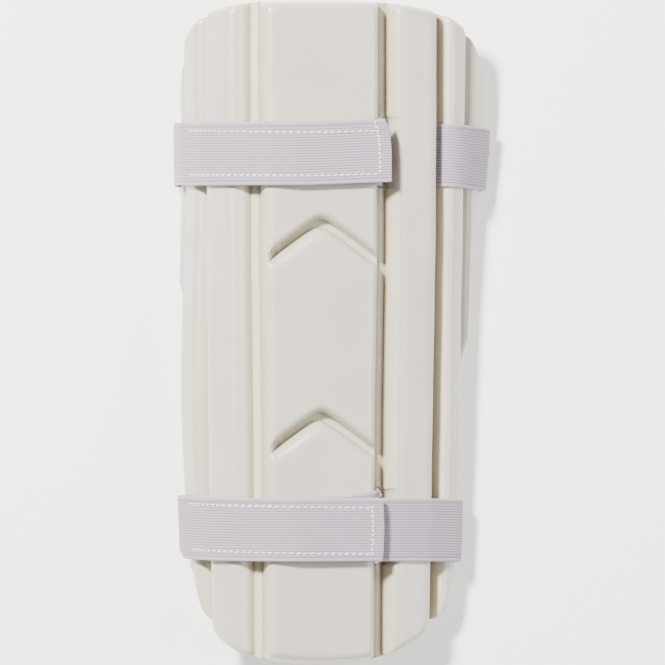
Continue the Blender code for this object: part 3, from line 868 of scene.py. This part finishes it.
# Stitches and yarns are short beads. A stitch covers STITCH_SHARE of its pitch, and its two
# ends lie STITCH_SLANT off the row, or END_SLANT times that in the end row.
BEAD_RINGS, BEAD_SIDES = 6, 7
BEAD_RISE = 0.8
STITCH_RADIUS = 0.3
STITCH_LIFT = 0.12
STITCH_PITCH, END_PITCH = 2.66, 1.7
STITCH_SHARE = 0.72
STITCH_SLANT = 0.26
END_SLANT = 1.8
YARNS = 10
YARN_RADIUS = 0.13
YARN_LENGTHS = (0.8, 1.6)
YARN_SPREAD, YARN_SCATTER, YARN_REACH = 0.8, 0.4, 0.3
YARN_SEED = 11


def bead_points(centre, forward, up, length, radius):
    """A short bead that lies along forward on a surface whose normal is up."""
    side = np.cross(up, forward)
    points = []
    for ring in range(BEAD_RINGS):
        turn = math.pi * ring / (BEAD_RINGS - 1)
        along = -math.cos(turn) * length / 2
        girth = max(math.sin(turn), 0.02) ** 0.6 * radius
        for k in range(BEAD_SIDES):
            angle = 2 * math.pi * k / BEAD_SIDES
            points.append(centre + forward * along
                          + (side * math.cos(angle) + up * math.sin(angle) * BEAD_RISE) * girth)
    return np.array(points)


def bead_faces(start):
    """Faces of the bead whose first point has the number start."""
    faces = []
    last = start + (BEAD_RINGS - 1) * BEAD_SIDES
    for first in range(start, last, BEAD_SIDES):
        for k in range(BEAD_SIDES):
            a, b = first + k, first + (k + 1) % BEAD_SIDES
            faces.append((a, b, b + BEAD_SIDES, a + BEAD_SIDES))
    faces.append(tuple(start + k for k in reversed(range(BEAD_SIDES))))
    faces.append(tuple(last + k for k in range(BEAD_SIDES)))
    return faces


def beads_object(name, beads, material):
    size = BEAD_RINGS * BEAD_SIDES
    faces = [face for k in range(len(beads)) for face in bead_faces(k * size)]
    return new_object(name, np.concatenate(beads), faces, material)


def stitches_piece(name, band, rows, thickness, material):
    """Stitches along rows, each a list of (share across, share along) from stitch to stitch."""
    beads = []
    lift = thickness / 2 + STITCH_LIFT
    for row in rows:
        for (across, along), (next_across, next_along) in zip(row[::2], row[1::2]):
            ends = band.surface(np.array([across, next_across]),
                                np.array([along, next_along]), np.array([lift, lift]))
            nudged = band.surface(np.array([across]), np.array([along]), np.array([lift + 1]))
            up = nudged[0] - ends[0]
            up /= np.linalg.norm(up)
            forward = ends[1] - ends[0]
            length = np.linalg.norm(forward)
            forward /= length
            beads.append(bead_points(ends.mean(axis=0), forward, up, length, STITCH_RADIUS))
    return beads_object(name, beads, material)


def stitch_row(band, v_from, v_to, s_from, s_to, pitch=STITCH_PITCH):
    """Stitch ends from one place to another, in millimetres across and along the band."""
    width = band.end - band.start
    run = math.hypot(v_to - v_from, s_to - s_from)
    count = max(int(run / pitch), 1)
    row = []
    for k in range(count):
        for part, lean in ((k / count, -STITCH_SLANT),
                           ((k + STITCH_SHARE) / count, STITCH_SLANT)):
            v = v_from + (v_to - v_from) * part
            s = s_from + (s_to - s_from) * part
            if abs(s_to - s_from) > abs(v_to - v_from):
                v -= lean
            else:
                s += lean * (1 if k % 2 else -1) * END_SLANT
            row.append((v / width, s / band.length))
    return row


def yarn_tufts(name, band, shares, thickness, material):
    """Tufts of worn yarn where the band turns over the right rim, at shares across it."""
    draws = np.random.default_rng(YARN_SEED)
    beads = []
    for share in shares:
        path = band.paths[round(share * (len(band.y) - 1))]
        along = path[:, 0].argmax() / (band.steps - 1)
        lifts = np.array([thickness / 2, thickness / 2 + 1])
        base, out = band.surface(np.full(2, share), np.full(2, along), lifts)
        for _ in range(YARNS):
            forward = out - base + draws.normal(size=3) * YARN_SPREAD
            forward /= np.linalg.norm(forward)
            up = np.cross(forward, (0.3, 1.0, 0.2))
            up /= np.linalg.norm(up)
            length = draws.uniform(*YARN_LENGTHS)
            centre = base + draws.normal(size=3) * YARN_SCATTER + forward * length * YARN_REACH
            beads.append(bead_points(centre, forward, up, length, YARN_RADIUS))
    return beads_object(name, beads, material)


# Materials

class Nodes:
    """A material's node tree, with short calls for its nodes."""

    def __init__(self, name):
        self.material = bpy.data.materials.new(name)
        self.material.use_nodes = True
        self.tree = self.material.node_tree
        self.shader = self.tree.nodes["Principled BSDF"]

    def add(self, kind, inputs=None, **settings):
        node = self.tree.nodes.new(kind)
        for key, value in settings.items():
            setattr(node, key, value)
        for key, value in (inputs or {}).items():
            self.put(node.inputs[key], value)
        return node

    def put(self, socket, value):
        if hasattr(value, "is_output"):
            self.tree.links.new(value, socket)
        else:
            socket.default_value = value

    def math(self, operation, *values):
        node = self.add("ShaderNodeMath", operation=operation)
        for k, value in enumerate(values):
            self.put(node.inputs[k], value)
        return node.outputs[0]

    def mix(self, factor, a, b):
        node = self.add("ShaderNodeMix", data_type="RGBA")
        self.put(node.inputs["Factor"], factor)
        self.put(node.inputs[6], a)
        self.put(node.inputs[7], b)
        return node.outputs[2]

    def attribute(self, name):
        return self.add("ShaderNodeAttribute", attribute_name=name).outputs["Fac"]

    def noise(self, scale, detail=2.0, vector=None):
        node = self.add("ShaderNodeTexNoise", {"Scale": scale, "Detail": detail})
        if vector is None:
            vector = self.add("ShaderNodeTexCoord").outputs["Object"]
        self.put(node.inputs["Vector"], vector)
        return node.outputs["Fac"]

    def shade(self, inputs):
        for name, value in inputs.items():
            self.put(self.shader.inputs[name], value)

    def range(self, value, low, high, to_low=0.0, to_high=1.0):
        node = self.add("ShaderNodeMapRange", {"Value": value, "From Min": low, "From Max": high,
                                               "To Min": to_low, "To Max": to_high})
        return node.outputs[0]

    def bump(self, height, strength, distance, normal=None):
        node = self.add("ShaderNodeBump", {"Height": height, "Strength": strength,
                                           "Distance": distance})
        if normal is not None:
            self.put(node.inputs["Normal"], normal)
        return node.outputs[0]


def foam_material():
    """Satin skin of the moulded foam, cooler on the faces; the grooves carry painted bounce
    light on their walls and painted shade deeper in.
    """
    n = Nodes("foam_skin")
    painted_shade = n.attribute("painted_shade")
    cloud = n.noise(38.0, 3.0)
    face = n.mix(n.range(cloud, 0.35, 0.65),
                 (0.52, 0.475, 0.40, 1), (0.55, 0.505, 0.427, 1))
    # Cream on the walls is painted bounce light
    wall = n.mix(n.noise(60.0), (0.64, 0.59, 0.46, 1), (0.60, 0.545, 0.41, 1))
    colour = n.mix(n.range(painted_shade, 0.12, 0.6), face, wall)
    # Tan deep in the grooves and chevrons is painted shade
    colour = n.mix(n.range(painted_shade, 0.6, 1.0), colour, (0.44, 0.37, 0.245, 1))
    specks = n.range(n.noise(900.0, 1.0), 0.70, 0.76, 0.0, 0.35)
    colour = n.mix(specks, colour, (0.55, 0.52, 0.47, 1))
    grain = n.bump(n.noise(2300.0), 0.16, 0.0003)
    hide = n.bump(n.noise(620.0), 0.12, 0.0006, grain)
    n.shade({"Base Color": colour,
             "Roughness": n.range(n.noise(240.0, 3.0), 0.3, 0.7, 0.34, 0.46),
             "Normal": n.bump(n.noise(90.0), 0.10, 0.002, hide),
             "Specular IOR Level": 0.65, "Coat Weight": 0.6, "Coat Roughness": 0.23})
    return n.material


def elastic_material():
    """Woven elastic: fine ribs across with painted shade in their valleys, weft along, a seam
    line, and darker cut ends.
    """
    n = Nodes("elastic_cloth")
    along, across = n.attribute("along"), n.attribute("across")
    phase = n.math("MULTIPLY", n.math("SUBTRACT", across, SELVEDGE), 2 * math.pi / RIB_PITCH)
    ribs = n.math("COSINE", phase)
    edge = n.math("MINIMUM", across, n.math("SUBTRACT", STRAP_WIDTH, across))
    plain = n.range(edge, SELVEDGE - 0.1, SELVEDGE + 0.2)
    depth = n.range(n.math("MULTIPLY", ribs, plain), -1.0, 0.0)
    weft = n.math("SINE", n.math("MULTIPLY", along, 2 * math.pi / WEFT_PITCH))
    flat = n.add("ShaderNodeCombineXYZ", {"X": along, "Y": across}).outputs[0]
    mottle = n.noise(0.35, 3.0, flat)
    thread = n.noise(5.0, 2.0, n.add("ShaderNodeVectorMath", {0: flat, 1: (0.35, 1.0, 1.0)},
                                     operation="MULTIPLY").outputs[0])
    # The dark colour in the rib valleys is painted shade
    light = n.mix(mottle, (0.41, 0.35, 0.395, 1), (0.375, 0.32, 0.37, 1))
    painted_valley_shade = n.mix(mottle, (0.17, 0.13, 0.175, 1), (0.145, 0.11, 0.16, 1))
    colour = n.mix(depth, painted_valley_shade, light)
    colour = n.mix(n.range(thread, 0.35, 0.75, 0.0, 0.45), colour, (0.47, 0.415, 0.46, 1))
    seam = n.range(n.math("ABSOLUTE", n.math("SUBTRACT", edge, SELVEDGE)), 0.1, 0.5, 0.75, 0.0)
    colour = n.mix(seam, colour, (0.27, 0.235, 0.32, 1))
    cut = n.range(n.attribute("from_end"), 0.25, 0.8, 0.6, 0.0)
    colour = n.mix(cut, colour, (0.30, 0.27, 0.32, 1))
    weave = n.math("ADD", n.math("MULTIPLY", weft, n.math("MULTIPLY", ribs, 0.25)), thread)
    n.shade({"Base Color": colour, "Normal": n.bump(weave, 0.5, 0.00018), "Roughness": 0.88,
             "Sheen Weight": 0.25, "Sheen Roughness": 0.5, "Specular IOR Level": 0.2})
    return n.material


def hook_material():
    """Hook tape, with a hook in each cell of a fine pattern."""
    n = Nodes("hook_tape_grey")
    along, across = n.attribute("along"), n.attribute("across")
    flat = n.add("ShaderNodeCombineXYZ", {"X": along, "Y": across}).outputs[0]
    hooks = n.add("ShaderNodeTexVoronoi", {"Scale": 0.95, "Vector": flat}).outputs["Distance"]
    colour = n.mix(n.range(hooks, 0.1, 0.6),
                   (0.70, 0.68, 0.69, 1), (0.42, 0.40, 0.42, 1))
    colour = n.mix(n.noise(0.5, 2.0, flat), colour, (0.62, 0.6, 0.62, 1))
    relief = n.bump(n.math("SUBTRACT", 1.0, hooks), 0.8, 0.0005)
    n.shade({"Base Color": colour, "Roughness": 0.7, "Normal": relief})
    return n.material


def thread_material():
    """Pale twisted sewing thread."""
    n = Nodes("sewing_thread")
    twist = n.noise(2600.0)
    n.shade({"Base Color": n.mix(twist, (0.95, 0.94, 0.96, 1), (0.88, 0.86, 0.90, 1)),
             "Roughness": 0.6, "Sheen Weight": 0.2, "Normal": n.bump(twist, 0.5, 0.0002)})
    return n.material


# Pieces

foam = foam_material()
elastic = elastic_material()
hook = hook_material()
thread = thread_material()

shell = shell_piece(foam)
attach(shell, "root")
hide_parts("guard_shell")

# Mesh steps along each band and lines across it
STRAP_STEPS, PATCH_STEPS, TAB_STEPS = 330, 120, 90
ELASTIC_LINES, PATCH_LINES = 112, 30

# Rows of stitches: how long the sewn front is and how far its end row lies from the free end,
# then distances in from the band's edges, of each long row's two ends and of the end row's
SEWN_FRONT = {"upper": 90.0, "lower": 84.0}
END_SEAM = {"upper": 4.6, "lower": 4.4}
STITCH_ROWS = {
    "upper": ((3.1, 4.6), (4.2, 3.3), 0.8, 3.2),
    "lower": ((2.7, 3.8), (3.9, 2.8), 3.0, 1.6),
}
TUFT_PLACES = (0.01, 0.18, 0.4)

for name in STRAP_PLACES:
    start, end = strap_span(name)
    band = Band(lambda y: strap_path(name, y), start, end, STRAP_STEPS)
    strap = band_piece(name + "_elastic", band, STRAP_THICKNESS, elastic, ELASTIC_LINES, True)
    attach(strap, "root")
    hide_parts(name + "_strap")
    first, last = band.length - SEWN_FRONT[name], band.length - END_SEAM[name]
    near_row, far_row, end_from, end_to = STITCH_ROWS[name]
    far_row = [STRAP_WIDTH - inset for inset in far_row]
    rows = [stitch_row(band, *near_row, first, last),
            stitch_row(band, *far_row, first, last),
            stitch_row(band, end_from, STRAP_WIDTH - end_to, last, last, END_PITCH)]
    sewn = stitches_piece(name + "_stitches", band, rows, STRAP_THICKNESS, thread)
    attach(sewn, "root")
    if name == "upper":
        tufts = yarn_tufts("upper_loose_yarn", band, TUFT_PLACES, STRAP_THICKNESS, thread)
        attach(tufts, "root")
    patch_band = Band(lambda y: patch_path(name, y), start + PATCH_INSET, end - PATCH_INSET,
                      PATCH_STEPS)
    patch = band_piece(name + "_hook_tape", patch_band, PATCH_THICKNESS, hook, PATCH_LINES,
                       False)
    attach(patch, "root")
    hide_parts(name + "_hook_patch")

start, end = strap_span("lower")
tab_band = Band(loop_tab_path, start, end, TAB_STEPS)
tab = band_piece("lower_loop_elastic", tab_band, STRAP_THICKNESS, elastic, ELASTIC_LINES, True)
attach(tab, "root")
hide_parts("lower_loop_tab")

# Floor, light and camera

def floor_material():
    n = Nodes("pale_floor")
    n.shade({"Base Color": n.mix(n.noise(3.0), (0.97, 0.97, 0.97, 1), (0.98, 0.98, 0.98, 1)),
             "Roughness": 0.9, "Emission Color": (1.0, 1.0, 1.0, 1),
             "Emission Strength": 0.55})
    return n.material


FLOOR = 6.0
floor_mesh = bpy.data.meshes.new("floor")
floor_mesh.from_pydata([(-FLOOR, -FLOOR, 0), (FLOOR, -FLOOR, 0), (FLOOR, FLOOR, 0),
                        (-FLOOR, FLOOR, 0)], [], [(0, 1, 2, 3)])
floor_mesh.materials.append(floor_material())
floor = bpy.data.objects.new("floor", floor_mesh)
bpy.context.scene.collection.objects.link(floor)


AIM = (0, 0, 0.03)


def area_light(name, place, size, power, colour):
    """A round soft light at a place in metres, aimed at the guard."""
    data = bpy.data.lights.new(name, "AREA")
    data.shape = "DISK"
    data.size = size
    data.energy = power
    data.color = colour
    light = bpy.data.objects.new(name, data)
    light.location = place
    aim = Vector(AIM) - Vector(place)
    light.rotation_euler = aim.to_track_quat("-Z", "Y").to_euler()
    bpy.context.scene.collection.objects.link(light)


area_light("key", (-0.58, 0.60, 1.35), 0.26, 92.0, (1.0, 0.985, 0.96))
area_light("fill", (1.1, -0.1, 1.0), 0.8, 12.0, (0.96, 0.98, 1.0))

world = bpy.data.worlds.new("studio")
world.use_nodes = True
sky = world.node_tree.nodes["Background"].inputs
sky["Color"].default_value = (1.0, 1.0, 1.0, 1)
sky["Strength"].default_value = 0.42
bpy.context.scene.world = world

# The photograph looks along the guard's own z axis, with the elbow end at the top. Only
# VIEW_WIDTH and VIEW_DISTANCE are in metres.
VIEW_CENTRE = (5.73, 129.1, 0.0)
VIEW_WIDTH = 0.25935
VIEW_DISTANCE = 4.0
SENSOR = 36.0

camera_data = bpy.data.cameras.new("camera")
camera_data.sensor_width = SENSOR
camera_data.lens = SENSOR * VIEW_DISTANCE / VIEW_WIDTH
camera_data.clip_end = 30.0
camera = bpy.data.objects.new("camera", camera_data)
bpy.context.scene.collection.objects.link(camera)
centre, out, up = (Vector(place_in_world([p])[0]) for p in
                   (VIEW_CENTRE, (VIEW_CENTRE[0], VIEW_CENTRE[1], 1000.0),
                    (VIEW_CENTRE[0], VIEW_CENTRE[1] - 1000.0, 0.0)))
z_axis = (out - centre).normalized()
y_axis = (up - centre).normalized()
x_axis = y_axis.cross(z_axis)
turn = Matrix((x_axis, y_axis, z_axis)).transposed().to_4x4()
camera.matrix_world = Matrix.Translation(centre + z_axis * VIEW_DISTANCE) @ turn
bpy.context.scene.camera = camera
